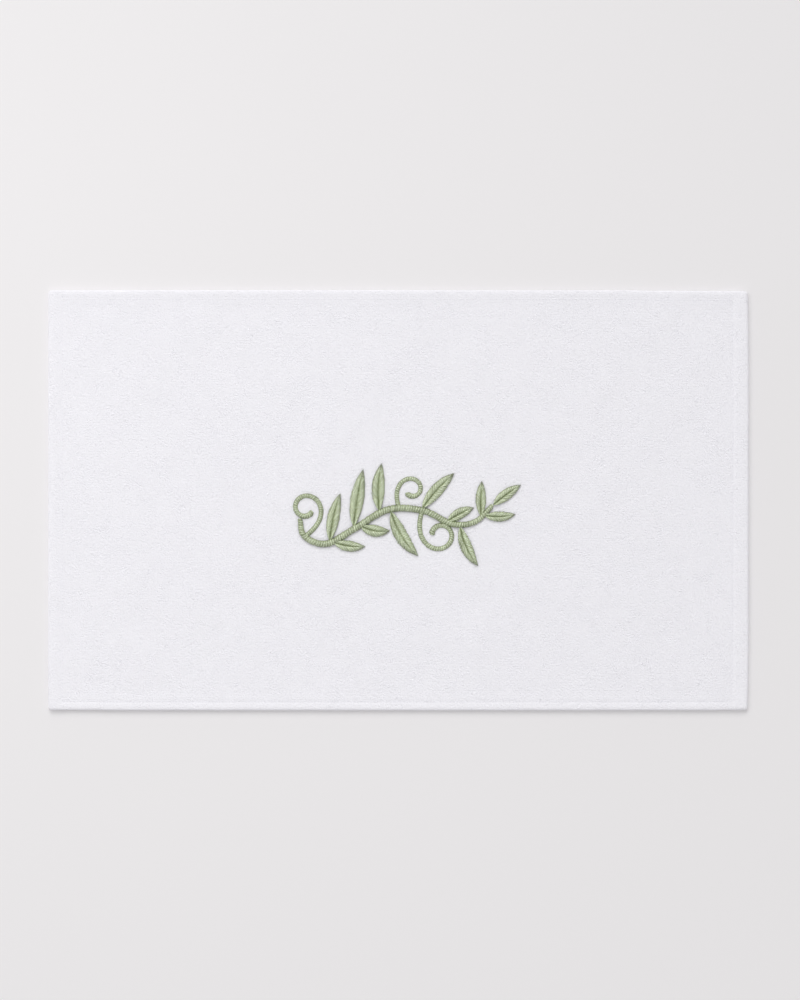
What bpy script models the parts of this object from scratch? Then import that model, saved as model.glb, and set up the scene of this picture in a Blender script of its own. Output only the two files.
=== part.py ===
"""Hand towel of terry cloth, laid out flat, face up.

One sheet of cloth with a hem turned under along all four edges.
Metres, +Z up, +X along the length, +Y across the width.
The origin is under the middle of the towel, on the surface that it lies on.
"""
from collections import namedtuple
from math import cos, hypot, pi, sin

import bmesh
import bpy

MM = 0.001

# ---------------------------------------------------------------- sizes (mm)
LENGTH = 635.0           # hemmed length, along X
WIDTH = 381.0            # hemmed width, along Y
BODY_THICK = 4.2         # cloth and pile inside the hems
HEM_THICK = 4.6          # the turned band: three plies, pressed together
HEM_SLOPE = 0.05         # the band rises towards its fold, mm to the mm
CORNER_EXTRA = 0.3       # where an end hem is turned over a side hem
END_HEM = 14.4           # fold to stitch line along the right end
LEFT_HEM = 12.8          # fold to stitch line along the left end
SIDE_HEM = 8.0           # fold to stitch line along the two long sides
CORNER_RADIUS = 3.0      # in plan, where the turned cloth meets
RIM_HALF = 2.0           # height of the outermost line of the fold
FOLD_REACH = 3.4         # the rounded fold ends this far from its line
FOLD_POWER = 2.6         # 2 is a round fold, more is a squarer one
GROOVE_DEPTH = 0.18      # how far the stitch line pulls the face down
GROOVE_REACH = 2.6       # half the width of that dent
LIFT = 0.9               # the body rises this much over the turned-in plies
FLAP_END = 1.6           # turned ply ends this far inside the stitch line
SETTLE = 9.0             # inside the stitch line the cloth is down again here

INNER_COLUMNS = 24       # cells across the middle, along X
INNER_ROWS = 14          # cells across the middle, along Y

# ------------------------------------------------- lines that follow the hem
# at = hem_share * hem width + past; the same lines serve both hem widths
HemLine = namedtuple("HemLine", "name hem_share past")
HEM_LINES = (
    HemLine("fold", 0.0, 0.0),
    HemLine("fold_low", 0.0, 0.4),
    HemLine("fold_shoulder", 0.0, 1.5),
    HemLine("fold_crown", 0.0, 3.4),
    HemLine("band_middle", 0.55, 0.0),
    HemLine("groove_outer", 1.0, -2.6),
    HemLine("stitches", 1.0, 0.0),
    HemLine("flap_step", 1.0, 1.75),
    HemLine("groove_inner", 1.0, 2.6),
    HemLine("slope_upper", 1.0, 4.8),
    HemLine("slope_foot", 1.0, 9.2),
)

# --------------------------------------- how far each edge is drawn in (mm)
# along is measured on the edge: Y for the ends, X for the sides
EdgePull = namedtuple("EdgePull", "along inward")
EDGE_PULLS = {
    "right": (EdgePull(-190.5, 1.10), EdgePull(-180.0, 0.95),
              EdgePull(-170.0, 0.55), EdgePull(-112.0, 0.05),
              EdgePull(-40.0, 0.10), EdgePull(30.0, 0.05),
              EdgePull(111.0, 0.0), EdgePull(170.0, 0.45),
              EdgePull(180.0, 0.70), EdgePull(190.5, 1.00)),
    "left": (EdgePull(-190.5, 0.25), EdgePull(-150.0, 0.0),
             EdgePull(60.0, 0.15), EdgePull(190.5, 0.20)),
    "far": (EdgePull(-317.5, 0.15), EdgePull(-120.0, 0.0),
            EdgePull(205.0, 0.10), EdgePull(240.0, 0.55),
            EdgePull(317.5, 0.90)),
    "near": (EdgePull(-317.5, 0.40), EdgePull(-277.0, 0.35),
             EdgePull(-262.0, 0.05), EdgePull(60.0, 0.0),
             EdgePull(285.0, 0.10), EdgePull(297.0, 0.40),
             EdgePull(317.5, 0.45)),
}

# --------------------------- soft swells of the face (waves across the cloth)
Swell = namedtuple("Swell", "height wave_x wave_y turn")
SWELLS = (
    Swell(0.10, 141.0, 310.0, 0.4),
    Swell(0.09, 97.0, -133.0, 2.1),
    Swell(0.07, -71.0, 88.0, 4.4),
    Swell(0.05, 400.0, 63.0, 1.3),
)
BAND_PUFF = 0.12         # the hem is a little fuller here, flatter there


def smooth(t):
    """0 to 1 with flat ends."""
    t = min(1.0, max(0.0, t))
    return t * t * (3.0 - 2.0 * t)


def read_pull(name, along):
    """Inward pull of one edge at a place along it, eased between rows."""
    rows = EDGE_PULLS[name]
    if along <= rows[0].along:
        return rows[0].inward
    for a, b in zip(rows, rows[1:]):
        if along <= b.along:
            t = smooth((along - a.along) / (b.along - a.along))
            return a.inward + (b.inward - a.inward) * t
    return rows[-1].inward


def grid_lines(size, hem, far_hem, inner):
    """Distances from the lower edge of every line across one direction."""
    near = [line.hem_share * hem + line.past for line in HEM_LINES]
    far = [size - line.hem_share * far_hem - line.past for line in HEM_LINES]
    far.reverse()
    step = (far[0] - near[-1]) / inner
    middle = [near[-1] + step * k for k in range(1, inner)]
    return near + middle + far


def fold_curve(d):
    """Half height of the rounded outer fold, 0 at its line, 1 past it."""
    if d >= FOLD_REACH:
        return 1.0
    t = 1.0 - max(0.0, d) / FOLD_REACH
    return (1.0 - t ** FOLD_POWER) ** (1.0 / FOLD_POWER)


def raised(d, hem):
    """1 on the turned band, easing to 0 where the cloth is single again."""
    return 1.0 - smooth((d - hem) / SETTLE)


def stitch_dent(dx, dy):
    """1 on the stitch line, a frame whose corners meet, 0 beside it."""
    along_end = dy >= SIDE_HEM - GROOVE_REACH
    along_side = dx >= END_HEM - GROOVE_REACH
    reach = 99.0
    if along_end:
        reach = min(reach, abs(dx - END_HEM))
    if along_side:
        reach = min(reach, abs(dy - SIDE_HEM))
    if reach >= GROOVE_REACH:
        return 0.0
    return 0.5 + 0.5 * cos(pi * reach / GROOVE_REACH)


def swell(x, y):
    return sum(s.height * sin(2.0 * pi * (x / s.wave_x + y / s.wave_y) + s.turn)
               for s in SWELLS)


def face_height(dx, dy, x, y):
    """Height of the face (the upper side), in mm."""
    up = max(raised(dx, END_HEM), raised(dy, SIDE_HEM))
    both = raised(dx, END_HEM) * raised(dy, SIDE_HEM)
    z = BODY_THICK + (HEM_THICK - BODY_THICK) * up + CORNER_EXTRA * both
    z += HEM_SLOPE * max(0.0, min(8.0, END_HEM - dx), min(8.0, SIDE_HEM - dy))
    inside = smooth((min(dx - END_HEM, dy - SIDE_HEM) - 2.0) / 18.0)
    z += swell(x, y) * inside
    z += BAND_PUFF * up * sin(x / 23.0 + 1.7 * sin(y / 41.0)) * sin(y / 19.0 + 0.8)
    z -= GROOVE_DEPTH * stitch_dent(dx, dy)
    return RIM_HALF + (z - RIM_HALF) * fold_curve(min(dx, dy))


def under_height(dx, dy):
    """Height of the underside: flat, but for the step beside the turned ply."""
    rim = RIM_HALF * (1.0 - fold_curve(min(dx, dy)))
    past_x = dx - END_HEM - FLAP_END
    past_y = dy - SIDE_HEM - FLAP_END
    if min(past_x, past_y) <= 0.0:
        return rim
    room = SETTLE - FLAP_END
    return LIFT * (1.0 - smooth(min(past_x, past_y) / room))


def round_corner(dx, dy):
    """Square corner of the plan bent onto a quarter circle."""
    r = CORNER_RADIUS
    if dx >= r or dy >= r:
        return dx, dy
    vx, vy = r - dx, r - dy
    ring = max(vx, vy)
    size = hypot(vx, vy)
    return r - ring * vx / size, r - ring * vy / size


def make_towel():
    xs = grid_lines(LENGTH, LEFT_HEM, END_HEM, INNER_COLUMNS)
    ys = grid_lines(WIDTH, SIDE_HEM, SIDE_HEM, INNER_ROWS)
    nx, ny = len(xs), len(ys)
    bm = bmesh.new()
    face, under = {}, {}
    for i, ax in enumerate(xs):
        for j, ay in enumerate(ys):
            dx = min(ax, LENGTH - ax)
            dy = min(ay, WIDTH - ay)
            px, py = round_corner(dx, dy)
            x = (px if ax < LENGTH / 2 else LENGTH - px) - LENGTH / 2
            y = (py if ay < WIDTH / 2 else WIDTH - py) - WIDTH / 2
            if ax < LENGTH / 2:
                # the left hem is narrower: its stitch line counts as END_HEM
                dx += (END_HEM - LEFT_HEM) * smooth((dx - 3.0) / (LEFT_HEM - 5.0))
            # each edge draws in the cloth near it, fading over the hem
            fade_x = 1.0 - smooth(dx / 120.0)
            fade_y = 1.0 - smooth(dy / 120.0)
            if x < 0.0:
                gx = x + read_pull("left", y) * fade_x
            else:
                gx = x - read_pull("right", y) * fade_x
            if y < 0.0:
                gy = y + read_pull("near", x) * fade_y
            else:
                gy = y - read_pull("far", x) * fade_y
            top = face_height(dx, dy, x, y)
            if i in (0, nx - 1) or j in (0, ny - 1):
                rim = bm.verts.new((gx * MM, gy * MM, RIM_HALF * MM))
                face[i, j] = under[i, j] = rim
            else:
                face[i, j] = bm.verts.new((gx * MM, gy * MM, top * MM))
                under[i, j] = bm.verts.new(
                    (gx * MM, gy * MM, under_height(dx, dy) * MM))
    for i in range(nx - 1):
        for j in range(ny - 1):
            ring = ((i, j), (i + 1, j), (i + 1, j + 1), (i, j + 1))
            bm.faces.new([face[k] for k in ring])
            bm.faces.new([under[k] for k in reversed(ring)])
    bmesh.ops.recalc_face_normals(bm, faces=bm.faces[:])
    mesh = bpy.data.meshes.new("towel_cloth")
    bm.to_mesh(mesh)
    bm.free()
    mesh.shade_smooth()
    mesh.set_sharp_from_angle(angle=1.0)
    return mesh


def cotton(name, colour, roughness):
    material = bpy.data.materials.new(name)
    material.use_nodes = True
    shader = material.node_tree.nodes["Principled BSDF"]
    shader.inputs["Base Color"].default_value = (*colour, 1.0)
    shader.inputs["Roughness"].default_value = roughness
    shader.inputs["Metallic"].default_value = 0.0
    shader.inputs["Sheen Weight"].default_value = 0.3
    return material


def main():
    for old in list(bpy.data.objects):
        bpy.data.objects.remove(old, do_unlink=True)
    mesh = make_towel()
    mesh.materials.append(cotton("white_terry", (0.85, 0.84, 0.88), 0.95))
    towel = bpy.data.objects.new("towel_cloth", mesh)
    bpy.context.scene.collection.objects.link(towel)


main()
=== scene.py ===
"""Looks of a white terry hand towel that lies flat, with a raised satin-stitch
leaf sprig on its middle, on a plain pale floor under soft light.

Lengths in the tables are in millimetres in the towel's own frame: +X along its
length, +Y across it, +Z up, the origin under its middle.
"""
from collections import namedtuple
from math import asin, atan2, cos, hypot, pi, radians, sin, tan

import bpy
import numpy as np
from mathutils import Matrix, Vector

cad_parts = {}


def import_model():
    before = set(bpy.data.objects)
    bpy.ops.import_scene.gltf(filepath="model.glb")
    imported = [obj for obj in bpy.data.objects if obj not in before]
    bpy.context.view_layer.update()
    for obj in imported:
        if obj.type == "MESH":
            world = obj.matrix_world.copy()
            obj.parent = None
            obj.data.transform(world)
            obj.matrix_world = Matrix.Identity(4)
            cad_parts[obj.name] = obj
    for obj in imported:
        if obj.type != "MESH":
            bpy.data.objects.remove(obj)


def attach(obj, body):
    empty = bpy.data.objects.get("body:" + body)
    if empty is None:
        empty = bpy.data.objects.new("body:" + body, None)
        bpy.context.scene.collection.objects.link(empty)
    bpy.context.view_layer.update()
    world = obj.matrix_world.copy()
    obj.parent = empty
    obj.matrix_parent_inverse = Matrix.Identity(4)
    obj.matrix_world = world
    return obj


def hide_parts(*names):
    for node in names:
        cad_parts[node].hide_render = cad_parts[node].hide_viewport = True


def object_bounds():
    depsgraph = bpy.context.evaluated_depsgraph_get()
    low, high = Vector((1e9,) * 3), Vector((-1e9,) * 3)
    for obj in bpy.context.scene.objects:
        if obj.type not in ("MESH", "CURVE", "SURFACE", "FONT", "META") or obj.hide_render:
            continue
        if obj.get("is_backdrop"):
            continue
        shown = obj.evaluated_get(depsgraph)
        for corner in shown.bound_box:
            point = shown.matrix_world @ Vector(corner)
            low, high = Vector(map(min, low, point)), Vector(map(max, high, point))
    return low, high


MM = 0.001

# ------------------------------------------------------------- the towel (mm)
LENGTH, WIDTH = 635.0, 381.0
BODY_THICK = 4.2
HEM_THICK = 4.6
HEM_SLOPE = 0.05                   # the hem rises towards its fold, mm to the mm
CORNER_EXTRA = 0.3
END_HEM, SIDE_HEM = 14.4, 8.0      # fold to stitch line, right and long sides
LEFT_HEM = 12.8                    # the same on the left
CORNER_RADIUS = 3.0
RIM_HALF = 2.0
FOLD_REACH, FOLD_POWER = 3.4, 2.6
GROOVE_REACH = 2.6
STEP_BACK, STEP_WIDE = 1.3, 2.4     # where the hem's step ends, and its width
# dip: how deep the seam draws in; step: share of the hem's height that stands
# right outside the seam, the rest builds up gently
Seam = namedtuple("Seam", "dip step")
SEAMS = {
    "left": Seam(0.10, 0.40),
    "right": Seam(0.20, 0.95),
    "near": Seam(0.18, 0.45),
    "far": Seam(0.0, 0.20),
}
LIFT = 0.9
FLAP_END = 1.6
SETTLE = 9.0

EdgePull = namedtuple("EdgePull", "along inward")
EDGE_PULLS = {
    "right": (EdgePull(-190.5, 1.10), EdgePull(-180.0, 0.95),
              EdgePull(-170.0, 0.55), EdgePull(-112.0, 0.05),
              EdgePull(-40.0, 0.10), EdgePull(30.0, 0.05),
              EdgePull(111.0, 0.0), EdgePull(170.0, 0.45),
              EdgePull(180.0, 0.70), EdgePull(190.5, 1.00)),
    "left": (EdgePull(-190.5, 0.25), EdgePull(-150.0, 0.0),
             EdgePull(60.0, 0.15), EdgePull(190.5, 0.20)),
    "far": (EdgePull(-317.5, 0.15), EdgePull(-120.0, 0.0),
            EdgePull(205.0, 0.10), EdgePull(240.0, 0.55),
            EdgePull(317.5, 0.90)),
    "near": (EdgePull(-317.5, 0.40), EdgePull(-277.0, 0.35),
             EdgePull(-262.0, 0.05), EdgePull(60.0, 0.0),
             EdgePull(285.0, 0.10), EdgePull(297.0, 0.40),
             EdgePull(317.5, 0.45)),
}
Swell = namedtuple("Swell", "height wave_x wave_y turn")
SWELLS = (
    Swell(0.10, 141.0, 310.0, 0.4),
    Swell(0.09, 97.0, -133.0, 2.1),
    Swell(0.07, -71.0, 88.0, 4.4),
    Swell(0.05, 400.0, 63.0, 1.3),
)
BAND_PUFF = 0.12

# ------------------------------------------------------------------ the pile
PILE_PITCH = 2.18                 # between loops
PILE_BODY, PILE_HEM = 0.38, 0.30   # how far the loops stand over the ground
PROUD = (0.30, 0.0)                # how far the pile widens the outline
PILE_PARTS = 4                     # pieces the pile is split into, along X
LOOP_HALF = (1.8, 2.5)             # half length of a loop of yarn
LOOP_WIDE = (0.70, 0.95)           # half its width
LOOP_BOW = 1.2                     # how far it bends aside
LOOP_SINK = 0.35                   # how deep its ends go
FOLD_TALL = 0.11                   # how much more they stand out on the fold
# rows along the rounded fold: distance from the edge, step along it
FOLD_ROWS_ABOVE = ((0.05, 1.6), (0.45, 2.0), (1.2, 2.0))
FOLD_ROWS_BELOW = ((0.02, 1.7), (0.20, 1.9))

# ---------------------------------------------------------------- the stitch
STITCH = 3.0                       # length of one lock stitch
SEW_THREAD = 0.24                  # its radius

# ----------------------------------------------------------------- the sprig
SPRIG_AT = (8.7, -12.4)
THREAD_PITCH = 1.12                # between the satin threads
THREAD = 0.62                      # half the width of a thread
THREAD_FLAT = 0.45                 # its height to its width
RIB = 2                            # threads to a rib, the first on its crest
SATIN_TONE_AND_PAINTED_LIGHT = 0.56                 # how far the threads differ in tone: random tone, painted shade and painted highlight alike
CREST_PAINTED_LIGHT = (0.30, 1.30)               # painted shade at the sides of a thread and painted highlight along its top
FOOT_PAINTED_SHADE = 4.8                    # painted shade: how much darker a thread is towards its feet, where it dives into the cloth
SPRIG_DENT = 0.10                  # how deep the stitches draw the cloth in
STEM_LIFT = 0.8                    # the stem crosses over the leaves' feet

Knot = namedtuple("Knot", "x y half")
STEM = (
    Knot(-98.0, -4.0, 2.3),
    Knot(-94.0, -20.0, 2.9),
    Knot(-74.0, -27.0, 3.2),
    Knot(-48.0, -13.0, 3.3),
    Knot(-18.0, 4.0, 3.3),
    Knot(14.0, 3.0, 3.2),
    Knot(40.0, -9.0, 3.0),
    Knot(61.0, -7.0, 2.7),
    Knot(77.0, 8.0, 2.3),
)
# at: share of the stem; side: +1 left of the way it grows; half: half its width;
# lean: degrees off the stem at the root; bend: degrees it turns back by its tip
Leaf = namedtuple("Leaf", "at side length half lean bend")
LEAVES = (
    Leaf(0.20, 1, 46.0, 5.8, 66.0, 14.0),
    Leaf(0.215, -1, 30.0, 5.2, 44.0, 26.0),
    Leaf(0.32, 1, 55.0, 6.4, 54.0, 8.0),
    Leaf(0.355, -1, 28.0, 5.6, 62.0, 44.0),
    Leaf(0.455, 1, 45.0, 6.2, 70.0, 22.0),
    Leaf(0.505, -1, 50.0, 6.4, 86.0, 34.0),
    Leaf(0.640, 1, 45.0, 6.0, 66.0, 14.0),
    Leaf(0.765, 1, 28.0, 5.2, 60.0, 16.0),
    Leaf(0.825, -1, 41.0, 5.6, 78.0, 30.0),
    Leaf(0.925, 1, 33.0, 4.9, 50.0, 8.0),
    Leaf(0.94, -1, 29.0, 4.8, 56.0, 26.0),
    Leaf(0.995, 1, 32.0, 5.2, -4.0, 10.0),
)
# a curl leaves the stem at a lean and winds up by curl degrees
Curl = namedtuple("Curl", "at side length half lean curl")
CURLS = (
    Curl(0.085, 1, 88.0, 2.3, 80.0, -390.0),
    Curl(0.545, 1, 66.0, 2.2, 104.0, 350.0),
    Curl(0.645, -1, 92.0, 2.3, 92.0, 380.0),
)


def smooth(t):
    """0 to 1 with flat ends."""
    t = np.clip(t, 0.0, 1.0)
    return t * t * (3.0 - 2.0 * t)


# ============================================================ shape of the cloth
def eased(rows, x):
    """A table's value at x, eased between its rows."""
    xs = np.array([r[0] for r in rows])
    vs = np.array([r[1] for r in rows])
    k = np.clip(np.searchsorted(xs, x) - 1, 0, len(xs) - 2)
    t = smooth((x - xs[k]) / (xs[k + 1] - xs[k]))
    return vs[k] + (vs[k + 1] - vs[k]) * t


def round_corner(dx, dy):
    """Square corner of the plan bent onto a quarter circle."""
    r = CORNER_RADIUS
    vx, vy = np.maximum(r - dx, 0.0), np.maximum(r - dy, 0.0)
    ring = np.maximum(vx, vy)
    size = np.maximum(np.hypot(vx, vy), 1e-9)
    at = (dx < r) & (dy < r)
    return (np.where(at, r - ring * vx / size, dx),
            np.where(at, r - ring * vy / size, dy))


def fold_curve(d):
    """Share of the height that the rounded outer fold has reached."""
    t = 1.0 - np.clip(d, 0.0, FOLD_REACH) / FOLD_REACH
    return (1.0 - t ** FOLD_POWER) ** (1.0 / FOLD_POWER)


def raised(d, hem):
    return 1.0 - smooth((d - hem) / SETTLE)


def stitch_reach(dx, dy):
    """Distance to the stitch line, a frame whose corners meet."""
    far = 99.0
    end = np.where(dy >= SIDE_HEM - GROOVE_REACH, np.abs(dx - END_HEM), far)
    side = np.where(dx >= END_HEM - GROOVE_REACH, np.abs(dy - SIDE_HEM), far)
    return np.minimum(end, side)


def seam_at(x, y, dx, dy):
    """Dip along the stitch line, in mm."""
    end = np.where(x < 0, SEAMS["left"].dip, SEAMS["right"].dip)
    side = np.where(y < 0, SEAMS["near"].dip, SEAMS["far"].dip)
    beside_end = np.abs(dx - END_HEM) < np.abs(dy - SIDE_HEM)
    reach = np.minimum(stitch_reach(dx, dy), GROOVE_REACH)
    return np.where(beside_end, end, side) * (0.5 + 0.5 * np.cos(pi * reach / GROOVE_REACH))


def hem_rise(d, hem, step):
    """Share of a hem's height at a distance from its edge."""
    sharp = 1.0 - smooth((d - hem + STEP_BACK + STEP_WIDE) / STEP_WIDE)
    return raised(d, hem) * (1.0 - step) + sharp * step


def swell(x, y):
    return sum(s.height * np.sin(2 * pi * (x / s.wave_x + y / s.wave_y) + s.turn)
               for s in SWELLS)


def noise(x, y, cell, seed):
    """Smooth value noise from -1 to 1 on a lattice of that cell size."""
    grid = np.random.default_rng(seed).uniform(-1, 1, (257, 257))
    gx, gy = x / cell + 500.0, y / cell + 500.0
    ix, iy = np.floor(gx).astype(int), np.floor(gy).astype(int)
    fx, fy = smooth(gx - ix), smooth(gy - iy)
    a = grid[ix % 257, iy % 257]
    b = grid[(ix + 1) % 257, iy % 257]
    c = grid[ix % 257, (iy + 1) % 257]
    d = grid[(ix + 1) % 257, (iy + 1) % 257]
    return (a * (1 - fx) + b * fx) * (1 - fy) + (c * (1 - fx) + d * fx) * fy


def spread(ax, ay):
    """Where a point of the cloth lies, from its distances along the two edges:
    x, y in plan and dx, dy to the nearest edges."""
    dx = np.minimum(ax, LENGTH - ax)
    dy = np.minimum(ay, WIDTH - ay)
    px, py = round_corner(dx, dy)
    # the left hem is narrower: from here on its stitch line is at END_HEM too
    dx = np.where(ax < LENGTH / 2,
                  dx + (END_HEM - LEFT_HEM) * smooth((dx - 3.0) / (LEFT_HEM - 5.0)), dx)
    x = np.where(ax < LENGTH / 2, px, LENGTH - px) - LENGTH / 2
    y = np.where(ay < WIDTH / 2, py, WIDTH - py) - WIDTH / 2
    fade_x = 1.0 - smooth(dx / 120.0)
    fade_y = 1.0 - smooth(dy / 120.0)
    x = x * (1.0 + 2.0 * PROUD[0] / LENGTH)
    y = y * (1.0 + 2.0 * PROUD[1] / WIDTH)
    gx = x + np.where(x < 0, eased(EDGE_PULLS["left"], y),
                      -eased(EDGE_PULLS["right"], y)) * fade_x
    gy = y + np.where(y < 0, eased(EDGE_PULLS["near"], x),
                      -eased(EDGE_PULLS["far"], x)) * fade_y
    return gx, gy, dx, dy


def face_height(x, y, dx, dy):
    """Height of the tips of the pile on the face."""
    in_x = hem_rise(dx, END_HEM, np.where(x < 0, SEAMS["left"].step, SEAMS["right"].step))
    in_y = hem_rise(dy, SIDE_HEM, np.where(y < 0, SEAMS["near"].step, SEAMS["far"].step))
    up = np.maximum(in_x, in_y)
    z = BODY_THICK + (HEM_THICK - BODY_THICK) * up + CORNER_EXTRA * in_x * in_y
    z = z + HEM_SLOPE * np.maximum(
        np.clip(END_HEM - dx, 0.0, 8.0), np.clip(SIDE_HEM - dy, 0.0, 8.0))
    inside = smooth((np.minimum(dx - END_HEM, dy - SIDE_HEM) - 2.0) / 18.0)
    z = z + swell(x, y) * inside
    z = z + BAND_PUFF * up * np.sin(x / 23.0 + 1.7 * np.sin(y / 41.0)) \
        * np.sin(y / 19.0 + 0.8)
    z = z - seam_at(x, y, dx, dy)
    z = z - SPRIG_DENT * sprig_dent(x, y)
    return RIM_HALF + (z - RIM_HALF) * fold_curve(np.minimum(dx, dy))


def under_height(dx, dy):
    """Height of the underside, with the step beside the turned ply."""
    rim = RIM_HALF * (1.0 - fold_curve(np.minimum(dx, dy)))
    past = np.minimum(dx - END_HEM, dy - SIDE_HEM) - FLAP_END
    lift = LIFT * (1.0 - smooth(past / (SETTLE - FLAP_END)))
    return np.where(past <= 0.0, rim, lift)


def pile_depth(dx, dy):
    """How far the ground of the cloth lies under the tips of its loops."""
    up = np.maximum(raised(dx, END_HEM), raised(dy, SIDE_HEM))
    deep = PILE_BODY + (PILE_HEM - PILE_BODY) * up
    return deep * (0.35 + 0.65 * smooth(np.minimum(dx, dy) / 2.2))


# ================================================================ the sprig
def spline(points, step=0.5):
    """A smooth curve through the points (columns x, y, ...), evenly spaced."""
    p = np.array(points, float)
    ends = np.vstack([2 * p[0] - p[1], p, 2 * p[-1] - p[-2]])
    out = []
    for k in range(1, len(ends) - 2):
        a, b, c, d = ends[k - 1:k + 3]
        t = np.linspace(0, 1, 40, endpoint=False)[:, None]
        out.append(0.5 * (2 * b + (c - a) * t + (2 * a - 5 * b + 4 * c - d) * t ** 2
                          + (3 * b - a - 3 * c + d) * t ** 3))
    out.append(ends[-2][None])
    line = np.vstack(out)
    length = np.concatenate(
        [[0], np.cumsum(np.hypot(*np.diff(line[:, :2], axis=0).T))])
    even = np.linspace(0, length[-1], max(3, int(length[-1] / step) + 1))
    return np.stack([np.interp(even, length, col) for col in line.T], 1)


def along(line):
    """Unit tangents and left normals of a plan curve."""
    t = np.gradient(line[:, :2], axis=0)
    t /= np.maximum(np.linalg.norm(t, axis=1, keepdims=True), 1e-9)
    return t, np.stack([-t[:, 1], t[:, 0]], 1)


def leaf_axis(root, heading, leaf, step=0.5):
    """Middle line of a leaf: it leaves at a lean and bends back to its tip."""
    n = int(leaf.length / step) + 1
    s = np.linspace(0, 1, n)
    ang = heading + leaf.side * (radians(leaf.lean) - radians(leaf.bend) * s ** 1.2)
    d = np.stack([np.cos(ang), np.sin(ang)], 1) * (leaf.length / (n - 1))
    return root + np.vstack([[0, 0], np.cumsum(d[:-1], axis=0)])


def curl_axis(root, heading, curl, step=0.4):
    """Middle line of a curl, tighter towards its end."""
    n = int(curl.length / step) + 1
    s = np.linspace(0, 1, n)
    ang = heading + curl.side * (radians(curl.lean) - radians(curl.curl) * s ** 1.75)
    d = np.stack([np.cos(ang), np.sin(ang)], 1) * (curl.length / (n - 1))
    return root + np.vstack([[0, 0], np.cumsum(d[:-1], axis=0)])


def blade(t):
    """Half width of a leaf along it, 1 at its widest."""
    t = np.clip(t, 0, 1)
    return t ** 0.75 * (1 - t) ** 0.85 / (0.46875 ** 0.75 * 0.53125 ** 0.85)


STALK = 0.08                       # share of a leaf that is bare at its foot


def leaf_half(t, half):
    """Half width of a leaf at shares t of its middle line."""
    return half * blade((t - STALK) / (1 - STALK))


Column = namedtuple("Column", "kind line half lift")


def sprig_plan():
    """Every satin column, lowest first, with its half width along the line."""
    stem = spline(STEM)
    tang, _ = along(stem)
    shift = np.array(SPRIG_AT)
    found = []

    def foot(at):
        k = int(round(at * (len(stem) - 1)))
        return stem[k, :2], atan2(tang[k, 1], tang[k, 0])

    for curl in CURLS:
        axis = curl_axis(*foot(curl.at), curl)
        s = np.linspace(0, 1, len(axis))
        half = curl.half * (1.0 + 0.25 * smooth((s - 0.8) / 0.2))
        found.append(Column("curl", axis + shift, half, 0.0))
    for leaf in LEAVES:
        axis = leaf_axis(*foot(leaf.at), leaf)
        s = np.linspace(0, 1, len(axis))
        found.append(Column("leaf", axis + shift, leaf_half(s, leaf.half), 0.25))
    found.append(Column("stem", stem[:, :2] + shift, stem[:, 2], STEM_LIFT))
    return found


PLAN = []


def sprig_samples():
    """Discs (x, y, radius) that together cover the stitched columns."""
    if not PLAN:
        PLAN.extend(sprig_plan())
    return np.vstack([
        np.column_stack([c.line, np.maximum(c.half, 0.8)])[::2] for c in PLAN])


def sprig_gap(x, y):
    """Distance from the edge of the nearest stitched column, negative in it."""
    discs = sprig_samples()
    x, y = np.asarray(x, float), np.asarray(y, float)
    gap = np.full(x.shape, 99.0)
    low, high = discs[:, :2].min(0) - 12, discs[:, :2].max(0) + 12
    near = (x > low[0]) & (x < high[0]) & (y > low[1]) & (y < high[1])
    px, py = x[near], y[near]
    best = np.full(px.shape, 99.0)
    for k in range(0, len(discs), 64):
        d = discs[k:k + 64]
        g = np.hypot(px[:, None] - d[:, 0], py[:, None] - d[:, 1]) - d[:, 2]
        best = np.minimum(best, g.min(1))
    gap[near] = best
    return gap


def sprig_dent(x, y):
    """The stitches pull the cloth down under and beside them."""
    return 1.0 - smooth((sprig_gap(x, y) + 0.8) / 2.2)


# ============================================================== mesh helpers
def mesh_object(name, verts, faces, material, uvs=None):
    """A mesh from an array of points in mm and an array of triangles or quads."""
    me = bpy.data.meshes.new(name)
    verts = np.asarray(verts, np.float32) * MM
    faces = np.asarray(faces, np.int32)
    sides = faces.shape[1]
    me.vertices.add(len(verts))
    me.vertices.foreach_set("co", verts.ravel())
    me.loops.add(faces.size)
    me.loops.foreach_set("vertex_index", faces.ravel())
    me.polygons.add(len(faces))
    me.polygons.foreach_set("loop_start", np.arange(0, faces.size, sides, dtype=np.int32))
    me.polygons.foreach_set("loop_total", np.full(len(faces), sides, np.int32))
    me.update(calc_edges=True)
    for label, values in (uvs or {}).items():
        layer = me.uv_layers.new(name=label)
        layer.uv.foreach_set("vector", values[faces.ravel()].astype(np.float32).ravel())
    me.shade_smooth()
    me.materials.append(material)
    me.validate()
    ob = bpy.data.objects.new(name, me)
    bpy.context.scene.collection.objects.link(ob)
    return ob


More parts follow.
